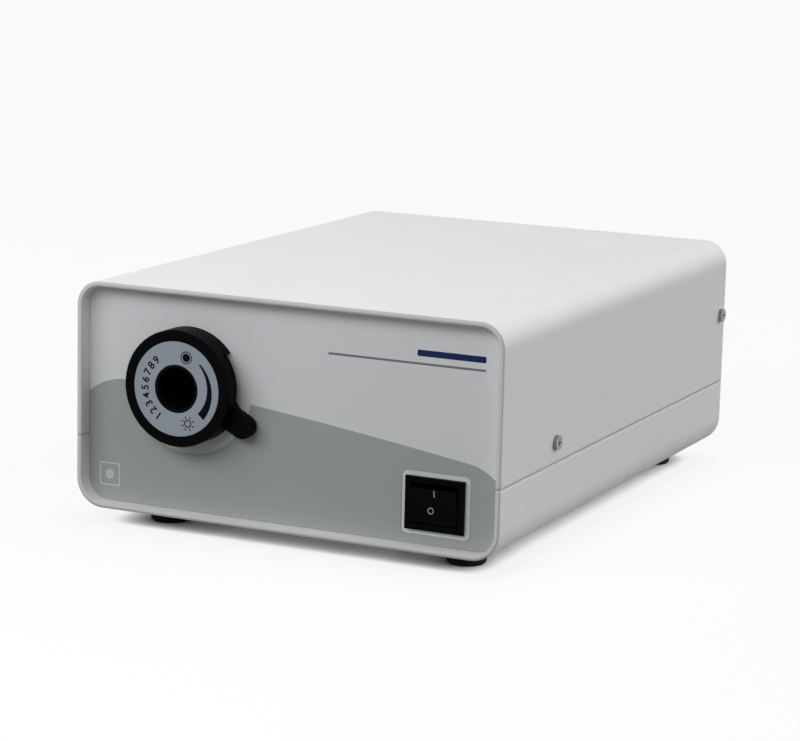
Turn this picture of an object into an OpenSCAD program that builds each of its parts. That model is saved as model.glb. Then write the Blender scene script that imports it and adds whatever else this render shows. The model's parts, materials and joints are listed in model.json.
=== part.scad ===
// Fibre optic illuminator: a bench light source with a lever-driven iris dimmer.
// Frame: X to the right, Y to the back, Z up, millimetres.
// Origin: centre of the bounding box at the height that the feet stand on.

/* [Housing] */
// Width over the side walls
body_w = 240; // [220:1:280]
// Height of the housing without its feet
body_h = 119; // [115:1:150]
// Depth from the front rim to the rear rim
body_d = 325; // [315:1:380]
// Sheet thickness of the cover and the tray
sheet = 1.5; // [1:0.1:2]
// Thickness of the folded hem along the front and rear rims
hem_t = 2.5; // [2.2:0.1:3.2]
// Depth of the hem, which is also the recess of the front panel
hem_d = 8.5; // [6:0.5:9]
// Outer bend radius along the top edges
top_r = 13; // [8:0.5:18]
// Outer bend radius along the bottom edges
bottom_r = 15; // [8:0.5:18]
// Height of the parting line between cover and tray
part_z = 37; // [34:0.5:42]
// Thickness of the front and rear panels
panel_t = 2; // [1.5:0.5:3]
// Recess of the rear panel behind the rear rim
rear_recess = 12; // [10:0.5:14]

/* [Feet] */
// Height of a foot
foot_h = 9; // [7:0.5:14]
// Radius of a foot at the floor
foot_r = 10; // [8:0.5:13]
// Distance of the left feet from the left side
foot_left = 40; // [30:1:48]
// Distance of the right feet from the right side
foot_right = 29; // [27:1:40]
// Distance of the front feet from the front rim
foot_front = 28; // [24:1:40]
// Distance of the rear feet from the rear rim
foot_rear = 33; // [31:1:50]

/* [Light port] */
// Sideways place of the optical axis
axis_x = -58; // [-62:0.5:-54]
// Height of the optical axis above the housing's bottom
axis_z = 69; // [64:0.5:72]
// Radius of the light guide's bore
bore_r = 11; // [8:0.5:11.5]
// Radius of the port drum's face
drum_r = 30.2; // [29:0.1:32]
// How far the drum's face stands proud of the front rim
face_proud = 5.5; // [4:0.5:8]
// Radius of the printed dial plate
dial_r = 24.5; // [20:0.5:26]
// Length of the light guide's sleeve
sleeve_len = 39; // [36:0.5:44]

/* [Dimmer] */
// Travel of the dimmer lever in degrees
lever_travel = 48; // [40:1:50]
// Rest angle of the lever, in degrees from the right
lever_angle = -27; // [-32:1:-24]
// Distance of the lever's round tip from the axis
lever_reach = 38.3; // [36:0.1:42]
// Radius of the lever's round tip
lever_tip_r = 6; // [5:0.1:7]
// Radius of the circle of blade pivots
pivot_ring = 22; // [21.8:0.1:22.6]
// Radius of the circle of blade studs at rest
stud_ring = 24.5; // [24:0.1:25]
// Inner radius of a blade's crescent, the open aperture
blade_in = 12.5; // [12:0.1:13]
// Outer radius of a blade's crescent
blade_out = 20.3; // [19.8:0.1:20.5]
// Thickness of a blade
blade_t = 0.45; // [0.3:0.05:0.5]

/* [Switch] */
// Width of the switch's bezel
switch_w = 32; // [30:0.5:34]
// Height of the switch's bezel
switch_h = 27; // [25:0.5:29]
// Distance of the switch's middle from the right side
switch_side = 38; // [36:0.5:42]
// Height of the switch's middle above the housing's bottom
switch_z = 23.5; // [22:0.5:26]
// Tilt of the rocker to each side, in degrees
rocker_tilt = 8; // [5:0.5:9]

/* [Lamp and cooling] */
// Radius of the lamp's reflector at its rim
reflector_r = 25; // [22:0.5:26]
// Distance of the reflector's rim behind the front rim
lamp_y = 92; // [84:1:110]
// Side of the fan's square frame
fan_w = 80; // [70:1:84]
// Thickness of the fan
fan_d = 25; // [20:1:32]
// Number of fan blades
fan_blades = 7; // [5:1:9]

/* [Power] */
// Width of the transformer's core
core_w = 78; // [66:1:80]
// Height of the transformer's core
core_h = 66; // [60:1:75]
// Thickness of the transformer's stack
core_d = 42; // [34:1:48]
// Distance of the mains inlet's middle from the right side
inlet_side = 42; // [36:1:50]
// Height of the mains inlet above the housing's bottom
inlet_z = 42; // [38:1:56]
// Travel of the fuse drawer
drawer_travel = 22; // [20:0.5:22.5]

/* [Hidden] */
$fn = 64;

// The front rim lies here, so that the bounding box is centred in Y.
rim_y = -(body_d - face_proud) / 2;
seam = 0.3;            // gap of the parting line
fit = 0.2;             // clearance of pieces set into one another
run = 0.06;            // radial clearance of a running fit
side_gap = 0.3;        // clearance between pieces that move past each other
small_screw_r = 1.5;   // the small screws of the flanges, the sleeve and the inlet
small_head_r = 2.8;
small_head_h = 1.6;
film_t = 0.3;
dial_t = 0.5;

panel_y = hem_d;                        // front face of the front panel
panel_back = panel_y + panel_t;
rear_y = body_d - rear_recess;          // outer face of the rear panel
rear_in = rear_y - panel_t;
floor_z = sheet;
foot_x = [-body_w / 2 + foot_left, body_w / 2 - foot_right];
foot_y = [foot_front, body_d - foot_rear];
switch_x = body_w / 2 - switch_side;
inlet_x = body_w / 2 - inlet_side;

// Stack of the light port, from the front
plate_back = 1;                         // rear face of the drum's front plate
flange_t = 1.8;
flange_y = panel_y - flange_t;
ring_y0 = plate_back + side_gap;
ring_y1 = flange_y - side_gap;
drum_edge = 0.6;                        // turned edge of the drum's face
journal_r = bore_r + 6;
tube_r = bore_r + 1.4;
back_tube_r = bore_r + 2;
wall_t = 1.2;                           // wall of the drum
skirt_in = drum_r - wall_t;
ring_r = skirt_in - 1.2;
flange_r = ring_r - 0.4;
drum_screw_ring = (bore_r + journal_r) / 2 + 1;
sleeve_head_r = 2.8;
film_hole_r = drum_r + 6.1;
pin_ring = 24;
pin_r = 2;
pin_angles = [44, 164, 284];
slot_half = pin_r + side_gap;
gap_angles = [for (a = pin_angles) a + 60 + lever_travel / 2];
cut_low = lever_angle - 16;             // the window of the lever in the drum's wall
cut_high = lever_angle + lever_travel + 18;

// Stack of the iris
sleeve_end = sleeve_len - face_proud + fit;
iris_plate_t = 2;
iris_y = sleeve_end - iris_plate_t;     // front face of the front plate
cam_y = sleeve_end + side_gap;
cam_t = 2;
cam_r = pin_ring + pin_r + 2.5;
blade_y = cam_y + cam_t + side_gap;
blade_pitch = blade_t + 0.25;
blades = 5;
blade_step = 360 / blades;
rear_plate_y = blade_y + blades * blade_pitch + 0.1;
rear_plate_t = 1.5;
iris_plate_r = 37;
pillar_ring = 33;
pillar_r = 3;
pivot_r = 1;
stud_r = 0.75;
stud_angle = 152;                       // of a blade's stud from its pivot
stud_dip = 2.4;                         // how far a stud moves in along its slot

// Switch
switch_cut_w = switch_w - 3.5;
switch_cut_h = switch_h - 4.5;
switch_body_d = 24;
tab_x = 7;                              // two rows of three tabs
tab_z = 6;
tab_l = 9;
window_rim = 2.6;                       // panel that shows round the bezel
window_corner = 3;
bezel_t = 2;
rocker_w = switch_w - 7;
rocker_h = switch_h - 7.4;
rocker_gap = 0.7;                       // above and below the rocker
rocker_side = 0.4;
rocker_pivot_y = 4.5;                   // behind the panel's front face

// Lamp
glass_r = 17;
glass_t = 3;
glass_y = rear_plate_y + rear_plate_t + 14;
reflector_d = 36;
neck_r = 9;
neck_l = 9;
socket_l = 14;
bracket_t = 1.5;
bracket_foot = 16;
holder_half = 28;

// Fan, concentric with the optical axis
fan_y = rear_in - fan_d;
fan_z = 60;
fan_hole_r = fan_w / 2 - 1.8;
fan_pitch = fan_w * 0.894;              // hole distance, 71.5 mm on an 80 mm fan
fan_hub_r = 18;

// Transformer
core_x = body_w / 2 - 72;
core_y = 70;
coil_d = core_d + 26;
foot_t = 2;

// Mains inlet
inlet_w = 50;
inlet_h = 34;
cavity_w = 24;
cavity_h = 16.4;
cavity_d = 18;
cavity_z = 5;                           // cavity middle above the inlet's middle
drawer_z = -9.6;
drawer_w = 24;
drawer_h = 8;
drawer_l = drawer_travel + 0.5;
fuse_r = 2.5;
inlet_t = 3;
inlet_screw_x = 20;
inlet_ear = 9;                          // flange beyond the body at each side
pin_tail = 15;                          // pins behind the cavity's floor

// Circuit board
board_x = 10;
board_y = 205;
board_w = 60;
board_l = 80;
board_z = floor_z + 8;
board_t = 1.6;

// ---- helpers ---------------------------------------------------------------

// Puts a piece drawn from the front rim and the housing's bottom into the frame.
module place() {
    translate([0, rim_y, foot_h]) children();
}

// Extrudes a profile drawn in X and Z from y0 to y1.
module along_y(y0, y1) {
    translate([0, y1, 0]) rotate([90, 0, 0]) linear_extrude(y1 - y0) children();
}

// Moves to the optical axis; angles count from the right, upwards.
module on_axis() {
    translate([axis_x, 0, axis_z]) children();
}

module rod(r, y0, y1) {
    translate([0, y1, 0]) rotate([90, 0, 0]) cylinder(r = r, h = y1 - y0);
}

// Puts children on a circle in the X-Z plane.
module on_circle(r, angle) {
    translate([r * cos(angle), 0, r * sin(angle)]) children();
}

function polar(r, a) = [r * cos(a), r * sin(a)];

// A pie slice wide enough for anything in the port.
module wedge(a0, a1, r = 2 * iris_plate_r) {
    polygon(concat([[0, 0]], [for (i = [0:4]) polar(r, a0 + (a1 - a0) * i / 4)]));
}

// An arc-shaped slot with round ends, a hair narrower than the slot itself.
module arc_slot(r, half, a0, a1) {
    intersection() {
        difference() {
            circle(r + half);
            circle(r - half);
        }
        wedge(a0, a1);
    }
    for (a = [a0, a1]) translate(polar(r, a)) circle(half - 0.04, $fn = 32);
}

module pin_slots() {
    for (a = pin_angles) arc_slot(pin_ring, slot_half, a, a + lever_travel);
}

// The housing's outline, drawn in by inset.
module outline(inset = 0) {
    w = body_w - 2 * inset;
    h = body_h - 2 * inset;
    rt = top_r - inset;
    rb = bottom_r - inset;
    translate([0, inset]) {
        translate([-w / 2, rb]) square([w, h - rt - rb]);
        translate([-w / 2 + rb, 0]) square([w - 2 * rb, rb + 1]);
        translate([-w / 2 + rt, h - rt - 1]) square([w - 2 * rt, rt + 1]);
        for (s = [-1, 1]) {
            translate([s * (w / 2 - rb), rb]) circle(rb);
            translate([s * (w / 2 - rt), h - rt]) circle(rt);
        }
    }
}

// The whole sheet shell with its hems, before it is parted.
module shell() {
    difference() {
        along_y(0, body_d) outline();
        along_y(hem_d, body_d - hem_d) outline(sheet);
        along_y(-1, hem_d + 1) outline(hem_t);
        along_y(body_d - hem_d - 1, body_d + 1) outline(hem_t);
    }
}

module slot_row(n, pitch, length, width) {
    for (i = [0:n - 1]) translate([(i - (n - 1) / 2) * pitch, 0]) {
        square([width, length - width], center = true);
        for (s = [-1, 1]) translate([0, s * (length - width) / 2]) circle(width / 2, $fn = 24);
    }
}

// Pan head screw along +Y into the part, its head's underside at y = 0.
module pan_screw(r, length, head_r, head_h) {
    rod(r, -0.01, length);
    difference() {
        rod(head_r, -head_h, 0);
        for (a = [0, 90]) rotate([0, a, 0])
            translate([-head_r * 0.55, -head_h - 1, -r * 0.18])
                cube([head_r * 1.1, 1 + head_h * 0.45, r * 0.36]);
    }
}

// Countersunk screw along +Y, its flat head at y = 0.
module flat_screw(r, length, head_r) {
    rod(r, 0, length);
    translate([0, head_r - r, 0]) rotate([90, 0, 0]) cylinder(r1 = r, r2 = head_r, h = head_r - r);
}

// ---- housing ----------------------------------------------------------------

cover_screw_y = [69.6, body_d - 7];
cover_screw_z = [48, 77];
cover_screw_r = 2;

module cover_screw_places() {
    for (s = [-1, 1], i = [0, 1])
        translate([s * body_w / 2, cover_screw_y[i], cover_screw_z[i]]) rotate([0, 0, s * 90]) children();
}

module top_cover() {
    color("gainsboro") place() difference() {
        shell();
        translate([-body_w, -1, -1]) cube([2 * body_w, body_d + 2, part_z + seam / 2 + 1]);
        cover_screw_places() rod(cover_screw_r + fit, -1, hem_t + 1);
    }
}

tab_t = 1.4;
tab_w = 22;
tab_h = 38;
tab_weld_h = 16;

// Welded tab that reaches up behind the cover and takes a side screw.
module side_tab(s) {
    x = s * (body_w / 2 - sheet - tab_t / 2);
    translate([x, cover_screw_y[0], part_z + 2])
        cube([tab_t - 0.1, tab_w, tab_h], center = true);
    translate([x + s * 0.1, cover_screw_y[0], part_z - tab_weld_h / 2 - 1])
        cube([tab_t + 0.2, tab_w, tab_weld_h], center = true);
}

vent_y = [130, 172];
vents = 9;
vent_pitch = 7;
vent_l = 30;
vent_w = 3;

module vent_slots() {
    for (y = vent_y) translate([axis_x, y, -1]) linear_extrude(sheet + 2)
        slot_row(vents, vent_pitch, vent_l, vent_w);
}

module foot_places() {
    for (x = foot_x, y = foot_y) translate([x, y, 0]) children();
}

module base_tray() {
    color("gainsboro") place() difference() {
        union() {
            difference() {
                shell();
                translate([-body_w, -1, part_z - seam / 2]) cube([2 * body_w, body_d + 2, body_h]);
            }
            for (s = [-1, 1]) side_tab(s);
        }
        for (s = [-1, 1]) translate([s * body_w / 2, cover_screw_y[0], cover_screw_z[0]])
            rotate([0, 0, s * 90]) rod(cover_screw_r + run, -1, 8);
        vent_slots();
        foot_places() translate([0, 0, -1]) cylinder(r = foot_screw_r + fit, h = sheet + 2);
        panel_screw_places() bottom_hole();
        rear_screw_places() bottom_hole();
    }
}

// ---- front panel ---------------------------------------------------------------

// Both panels stand on a flange that is screwed to the tray from below.
flange_l = 14;
flange_side = 20;
flange_screw_side = 60;
panel_flange_w = switch_x - switch_cut_w / 2 - 3 + body_w / 2 - flange_side;
rear_flange_w = body_w - 2 * flange_side;

module panel_screw_places() {
    for (x = [-body_w / 2 + flange_screw_side, 0, switch_x - 27])
        translate([x, panel_back + flange_l / 2, 0]) children();
}

module rear_screw_places() {
    for (x = [-body_w / 2 + flange_screw_side, 0, body_w / 2 - flange_screw_side])
        translate([x, rear_in - flange_l / 2, 0]) children();
}

module switch_hole() {
    translate([switch_x, switch_z]) square([switch_cut_w, switch_cut_h], center = true);
}

// The film stops short of the switch all round, with rounded corners.
module switch_window() {
    w = switch_w + 2 * window_rim;
    h = switch_h + 2 * window_rim;
    r = window_corner;
    translate([switch_x, switch_z]) {
        square([w - 2 * r, h], center = true);
        square([w, h - 2 * r], center = true);
        for (x = [-1, 1], z = [-1, 1]) translate([x * (w / 2 - r), z * (h / 2 - r)]) circle(r);
    }
}

module front_panel() {
    color("lightgray") place() difference() {
        union() {
            along_y(panel_y, panel_back) outline(sheet + fit);
            translate([-body_w / 2 + flange_side, panel_back - 0.01, floor_z])
                cube([panel_flange_w, flange_l, sheet]);
        }
        along_y(panel_y - 1, panel_back + 1) {
            switch_hole();
            translate([axis_x, axis_z]) {
                circle(back_tube_r + 0.1);
                pin_slots();
                for (a = gap_angles) translate(polar(pin_ring, a)) circle(1.6, $fn = 24);
            }
        }
        panel_screw_places() bottom_hole();
    }
}

// Height of the film's upper edge: it rises to a crest beside the dial, then
// runs down ever more steeply and turns over at its right end.
crest_x = -body_w / 2 + 30;
crest_z = 67.8;
left_drop = 10.7;
right_drop = 24.8;
turn_w = 19;
turn_drop = 10;
film_points = 48;
function film_edge(x) =
    x < crest_x
        ? crest_z - left_drop * pow((crest_x - x) / (crest_x + body_w / 2), 3)
        : crest_z - right_drop * pow((x - crest_x) / (body_w / 2 - crest_x), 1.35)
            - turn_drop * pow(max(0, x - body_w / 2 + turn_w) / turn_w, 2);

module wave_film() {
    x0 = -body_w / 2;
    color("gray") place() intersection() {
        along_y(panel_y - film_t, panel_y) outline(hem_t + 0.1);
        along_y(panel_y - film_t - 1, panel_y + 1) difference() {
            polygon(concat([[x0, -1]],
                [for (i = [0:film_points]) let (x = x0 * cos(180 * i / film_points)) [x, film_edge(x)]],
                [[-x0, -1]]));
            translate([axis_x, axis_z]) circle(film_hole_r);
            switch_window();
        }
    }
}

// ---- rear panel ---------------------------------------------------------------

// Slots of the fan's outlet, cut short by the circle of the fan's mouth.
module fan_grille() {
    pitch = 6.5;
    n = floor(fan_hole_r * 2 / pitch / 2) * 2 - 1;
    for (i = [0:n - 1]) {
        z = (i - (n - 1) / 2) * pitch;
        half = sqrt(fan_hole_r * fan_hole_r - z * z) - 3;
        for (s = [-1, 1]) translate([s * (half / 2 + 1), z]) {
            square([half - 5, 3.4], center = true);
            for (e = [-1, 1]) translate([e * (half - 5) / 2, 0]) circle(1.7, $fn = 24);
        }
    }
}

module rear_panel() {
    color("lightgray") place() difference() {
        union() {
            along_y(rear_in, rear_y) outline(sheet + fit);
            difference() {
                along_y(rear_y - 0.01, body_d - 1) outline(hem_t + 0.1);
                along_y(rear_y - 1, body_d) outline(hem_t + 0.1 + sheet);
            }
            translate([-rear_flange_w / 2, rear_in - flange_l, floor_z])
                cube([rear_flange_w, flange_l + 0.01, sheet]);
        }
        along_y(rear_in - 1, rear_y + 1) {
            translate([axis_x, fan_z]) {
                fan_grille();
                for (x = [-1, 1], z = [-1, 1]) translate([x * fan_pitch / 2, z * fan_pitch / 2])
                    circle(2.2, $fn = 24);
            }
            translate([inlet_x, inlet_z]) {
                square([inlet_w - 2 * inlet_ear, inlet_h - 4], center = true);
                for (s = [-1, 1]) translate([s * inlet_screw_x, 0]) circle(small_screw_r + fit, $fn = 24);
            }
            translate([earth_x, earth_z]) circle(2.7, $fn = 24);
        }
        for (s = [-1, 1]) translate([s * body_w / 2, cover_screw_y[1], cover_screw_z[1]])
            rotate([0, 0, s * 90]) rod(cover_screw_r + run, -1, 8);
        rear_screw_places() bottom_hole();
    }
}

module cover_screws() {
    color("silver") place() cover_screw_places() pan_screw(cover_screw_r, 8, 3.8, 2.2);
}

// Small screw that stands upright under the tray, and the hole that it passes.
module bottom_screw() {
    rotate([90, 0, 0]) pan_screw(small_screw_r, 2 * sheet + 3, small_head_r, small_head_h);
}

module bottom_hole() {
    translate([0, 0, -1]) cylinder(r = small_screw_r + fit, h = 2 * sheet + 2);
}

module panel_screws() {
    color("silver") place() panel_screw_places() bottom_screw();
}

module rear_screws() {
    color("silver") place() rear_screw_places() bottom_screw();
}

// ---- feet -----------------------------------------------------------------------

foot_screw_r = 2;
foot_head_r = 4;
foot_head_h = 2.6;
foot_floor = 3.5;       // rubber between the screw's head and the housing

module foot(column, row) {
    color([0.07, 0.07, 0.08]) place() translate([foot_x[column], foot_y[row], -foot_h]) difference() {
        rotate_extrude() polygon([[0, 0], [foot_r - 1, 0], [foot_r, 1], [foot_r + 1, foot_h], [0, foot_h]]);
        translate([0, 0, -1]) cylinder(r = foot_head_r + fit, h = foot_h - foot_floor + 1);
        cylinder(r = foot_screw_r + fit, h = foot_h + 1);
    }
}

module foot_front_left() { foot(0, 0); }

module foot_front_right() { foot(1, 0); }

module foot_rear_left() { foot(0, 1); }

module foot_rear_right() { foot(1, 1); }

module foot_screws() {
    color("silver") place() foot_places()
        translate([0, 0, -foot_floor]) rotate([90, 0, 0])
            pan_screw(foot_screw_r, foot_floor + sheet + 5, foot_head_r, foot_head_h);
}

// ---- light port ------------------------------------------------------------------

module drum_screw_places() {
    for (a = [90, 210, 330]) on_circle(drum_screw_ring, a) children();
}

module port_drum() {
    color([0.05, 0.05, 0.06]) place() on_axis() difference() {
        translate([0, panel_y, 0]) rotate([90, 0, 0]) rotate_extrude() polygon([
            [skirt_in, 0], [drum_r, 0], [drum_r, panel_y + face_proud - drum_edge],
            [drum_r - drum_edge, panel_y + face_proud],
            [tube_r + 0.1, panel_y + face_proud], [tube_r + 0.1, panel_y - plate_back],
            [skirt_in, panel_y - plate_back]]);
        // seat of the dial plate
        rod(dial_r + 0.15, -face_proud - 1, -face_proud + dial_t);
        along_y(plate_back, panel_y + 1) wedge(cut_low, cut_high);
        drum_screw_places() {
            rod(1.35, -face_proud, plate_back + 1);
            translate([0, -face_proud + dial_t, 0]) rotate([90, 0, 0])
                translate([0, 0, -1.05]) cylinder(r1 = 1.35, r2 = 2.4, h = 1.05);
        }
    }
}

module dial_plate() {
    color([0.62, 0.66, 0.72]) place() on_axis() difference() {
        rod(dial_r, -face_proud, -face_proud + dial_t);
        rod(tube_r + 0.1, -face_proud - 1, 0);
    }
}

module drum_screws() {
    color("silver") place() on_axis() drum_screw_places()
        translate([0, -face_proud + dial_t, 0]) flat_screw(1.25, 9.5, 2.3);
}

module light_guide_sleeve() {
    color([0.08, 0.08, 0.09]) place() on_axis() difference() {
        translate([0, sleeve_end, 0]) rotate([90, 0, 0]) rotate_extrude() polygon([
            [bore_r, 0], [back_tube_r, 0], [back_tube_r, sleeve_end - panel_y],
            [flange_r, sleeve_end - panel_y], [flange_r, sleeve_end - flange_y],
            [journal_r, sleeve_end - flange_y], [journal_r, sleeve_end - plate_back],
            [tube_r, sleeve_end - plate_back], [tube_r, sleeve_len], [bore_r, sleeve_len]]);
        along_y(flange_y - 1, panel_y + 1) {
            pin_slots();
            for (a = gap_angles) translate(polar(pin_ring, a)) circle(1.6, $fn = 24);
        }
        for (a = gap_angles) on_circle(pin_ring, a) translate([0, flange_y, 0]) rotate([90, 0, 0])
            translate([0, 0, -1.4]) cylinder(r1 = 1.6, r2 = sleeve_head_r + 0.1, h = 1.41);
        drum_screw_places() rod(1.25, plate_back - 1, flange_y);
    }
}

module sleeve_screws() {
    color("silver") place() on_axis() for (a = gap_angles) on_circle(pin_ring, a)
        translate([0, flange_y, 0]) flat_screw(small_screw_r, 6, sleeve_head_r);
}

// ---- dimmer ---------------------------------------------------------------------

lever_root = ring_r - 3;
lever_fillet_up = 10;
lever_fillet_low = 4;

// Fills the corner between the ring and the lever's upper flank, up to a fillet
// that bites a little into the ring and runs out on the flank.
module lever_web(r) {
    reach = ring_r + r - 0.4;
    c = [sqrt(pow(reach, 2) - pow(lever_tip_r + r, 2)), lever_tip_r + r];
    end = c[0] - r / 10;
    difference() {
        polygon([[lever_root - 2, 1], c * (lever_root - 1) / reach, c, [end, c[1] - r / 2], [end, 1]]);
        translate(c) circle(r);
    }
}

// The lever: a bar that ends round and blends into the ring.
module lever() {
    along_y(ring_y0, ring_y1) {
        translate([lever_reach, 0]) circle(lever_tip_r);
        translate([lever_root, -lever_tip_r]) square([lever_reach - lever_root, 2 * lever_tip_r]);
    }
    along_y(ring_y0, ring_y1) lever_web(lever_fillet_up);
    along_y(ring_y0, ring_y1) mirror([0, 1]) lever_web(lever_fillet_low);
}

module lever_ring() {
    color([0.05, 0.05, 0.06]) place() on_axis() difference() {
        rotate([0, -lever_angle, 0]) {
            rotate([0, 180, 0]) rod(ring_r, ring_y0, ring_y1);
            lever();
        }
        rod(journal_r + run, ring_y0 - 1, ring_y1 + 1);
        for (a = pin_angles) on_circle(pin_ring, a) rod(pin_r, ring_y0 + 1, ring_y1 + 1);
    }
}

module drive_pins() {
    color("silver") place() on_axis()
        for (a = pin_angles) on_circle(pin_ring, a) rod(pin_r, ring_y0 + 1, cam_y + cam_t);
}

module cam_ring() {
    color([0.45, 0.47, 0.5]) place() on_axis() along_y(cam_y, cam_y + cam_t) difference() {
        circle(cam_r);
        circle(blade_in + 1.5);
        for (a = pin_angles) translate(polar(pin_ring, a)) circle(pin_r);
        // radial slots that carry the blades' studs along
        for (i = [0:blades - 1]) rotate(stud_angle + i * blade_step) {
            translate([stud_ring - stud_dip, -stud_r - 0.25]) square([stud_dip, 2 * stud_r + 0.5]);
            for (x = [stud_ring - stud_dip, stud_ring]) translate([x, 0]) circle(stud_r + 0.25, $fn = 24);
        }
    }
}

module iris_front_plate() {
    color([0.3, 0.3, 0.32]) place() on_axis() along_y(iris_y, sleeve_end) difference() {
        circle(iris_plate_r);
        circle(back_tube_r + 0.1);
        pin_slots();
        for (a = gap_angles) translate(polar(pillar_ring, a)) circle(2.1, $fn = 32);
    }
}

module iris_rear_plate() {
    color([0.3, 0.3, 0.32]) place() on_axis() {
        along_y(rear_plate_y, rear_plate_y + rear_plate_t) difference() {
            circle(iris_plate_r);
            circle(blade_in);
            for (a = gap_angles) translate(polar(pillar_ring, a)) circle(1.7, $fn = 32);
        }
        for (i = [0:blades - 1]) on_circle(pivot_ring, i * blade_step)
            rod(pivot_r, blade_y + i * blade_pitch - 0.05, rear_plate_y + 0.01);
    }
}

module iris_pillars() {
    color("silver") place() on_axis() for (a = gap_angles) on_circle(pillar_ring, a) {
        rod(pillar_r, panel_back, iris_y);
        rod(2, iris_y - 0.01, sleeve_end + 0.01);
        rod(pillar_r, sleeve_end, rear_plate_y);
        rod(1.6, rear_plate_y - 0.01, rear_plate_y + rear_plate_t + 4);
    }
}

module iris_nuts() {
    y = rear_plate_y + rear_plate_t;
    color("silver") place() on_axis() for (a = gap_angles) on_circle(pillar_ring, a)
        difference() {
            translate([0, y + 2.4, 0]) rotate([90, 0, 0]) cylinder(r = 3.1, h = 2.4, $fn = 6);
            rod(1.65, y - 1, y + 3);
        }
}

// One crescent blade: it swings on a pivot at one end and is driven by a stud
// at the other. Index counts the layers from the cam ring.
module blade(i) {
    y = blade_y + i * blade_pitch;
    band_a0 = -4;
    band_a1 = stud_angle;
    tab_half = 1.1;
    color([0.16, 0.16, 0.17]) place() on_axis() rotate([0, -i * blade_step, 0]) {
        along_y(y, y + blade_t) difference() {
            union() {
                intersection() {
                    difference() {
                        circle(blade_out);
                        circle(blade_in);
                    }
                    wedge(band_a0, band_a1);
                }
                translate([pivot_ring, 0]) circle(2, $fn = 32);
                translate([blade_out - 2, -2]) square([pivot_ring - blade_out + 2, 4]);
                translate(polar(stud_ring, stud_angle)) circle(1.3, $fn = 32);
                translate(polar(stud_ring, stud_angle)) rotate(stud_angle + 13)
                    translate([-7.5, -tab_half]) square([7.5, 2 * tab_half]);
            }
            translate([pivot_ring, 0]) circle(pivot_r + run, $fn = 32);
        }
        on_circle(stud_ring, stud_angle) rod(stud_r, cam_y + 0.4, y + 0.01);
    }
}

module iris_blade_1() { blade(0); }

module iris_blade_2() { blade(1); }

module iris_blade_3() { blade(2); }

module iris_blade_4() { blade(3); }

module iris_blade_5() { blade(4); }

// ---- lamp house -------------------------------------------------------------------

// A standing sheet plate with a bent foot on the tray.
module standing_plate(y, half_w, top) {
    translate([axis_x - half_w, y, floor_z]) cube([2 * half_w, bracket_t, top - floor_z]);
    translate([axis_x - half_w, y, floor_z]) cube([2 * half_w, bracket_foot, bracket_t]);
}

module heat_glass() {
    color([0.75, 0.9, 0.85, 0.5]) place() on_axis() rod(glass_r, glass_y, glass_y + glass_t);
}

module glass_holder() {
    color("silver") place() difference() {
        union() {
            standing_plate(glass_y + glass_t, holder_half, axis_z + 24);
            // three fingers bent round the glass
            on_axis() for (a = [90, 210, 330]) rotate([0, -a, 0])
                translate([glass_r + 0.1, glass_y - 1.2, -3]) {
                    cube([1, glass_t + 1.3, 6]);
                    translate([-1.8, 0, 0]) cube([2, 1, 6]);
                }
        }
        on_axis() rod(glass_r - 2.5, glass_y, glass_y + glass_t + 3);
    }
}

// Half profile of the reflector: radius over depth behind the rim.
function bowl_r(y, rim) = rim - (rim - neck_r) * pow(y / reflector_d, 2.2);

module lamp_reflector() {
    steps = 9;
    wall = 1.8;
    outer = [for (i = [0:steps]) let (y = reflector_d * i / steps) [bowl_r(y, reflector_r), y]];
    inner = [for (i = [steps - 1:-1:0]) let (y = reflector_d * i / steps)
        [bowl_r(y, reflector_r) - wall - 0.5, y]];
    color([0.85, 0.87, 0.9]) place() on_axis() translate([0, lamp_y, 0]) rotate([-90, 0, 0])
        difference() {
            union() {
                rotate_extrude() polygon(concat(outer,
                    [[neck_r, reflector_d + neck_l], [5.3, reflector_d + neck_l],
                        [5.3, reflector_d - 4]], inner));
                cylinder(r = reflector_r + 1, h = 2);
            }
            translate([0, 0, -1]) cylinder(r = reflector_r - 2, h = 3.5);
        }
}

module lamp_capsule() {
    color([0.9, 0.9, 0.95, 0.6]) place() on_axis() translate([0, lamp_y, 0]) rotate([-90, 0, 0]) {
        translate([0, 0, 15]) cylinder(r = 5, h = 16);
        translate([0, 0, 15]) sphere(5);
        translate([-4.2, -1.6, 30]) cube([8.4, 3.2, reflector_d - 23]);
        for (s = [-1, 1]) translate([s * 3.2, 0, reflector_d + 6]) cylinder(r = 0.6, h = 13, $fn = 24);
    }
}

module lamp_socket() {
    y = lamp_y + reflector_d + neck_l + side_gap;
    color("white") place() on_axis() difference() {
        union() {
            translate([-10, y, -6]) cube([20, socket_l, 12]);
            translate([-17, y + socket_l - 5, -3]) cube([34, 5, 6]);
        }
        for (s = [-1, 1]) translate([s * 3.2, 0, 0]) rod(0.9, y - 1, y + 10);
    }
}

bracket_y = lamp_y + 2.3;
socket_end = lamp_y + reflector_d + neck_l + side_gap + socket_l;
bracket_half = 36;
arm_x = 33;
arm_h = 16;
arm_reach = 21.5;
arm_end = socket_end + 0.1;             // just behind the socket's ears

module lamp_bracket() {
    color("silver") place() difference() {
        union() {
            standing_plate(bracket_y, bracket_half, axis_z + 30);
            // arms that carry the socket
            for (s = [-1, 1]) translate([axis_x + s * arm_x, 0, axis_z - arm_h / 2]) {
                translate([-bracket_t / 2, bracket_y, 0])
                    cube([bracket_t, arm_end + bracket_t - bracket_y, arm_h]);
                translate([-(1 + s) * arm_reach / 2, arm_end, 0]) cube([arm_reach, bracket_t, arm_h]);
            }
        }
        on_axis() rod(bowl_r(4, reflector_r) + 0.5, lamp_y, lamp_y + 5);
    }
}

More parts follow.
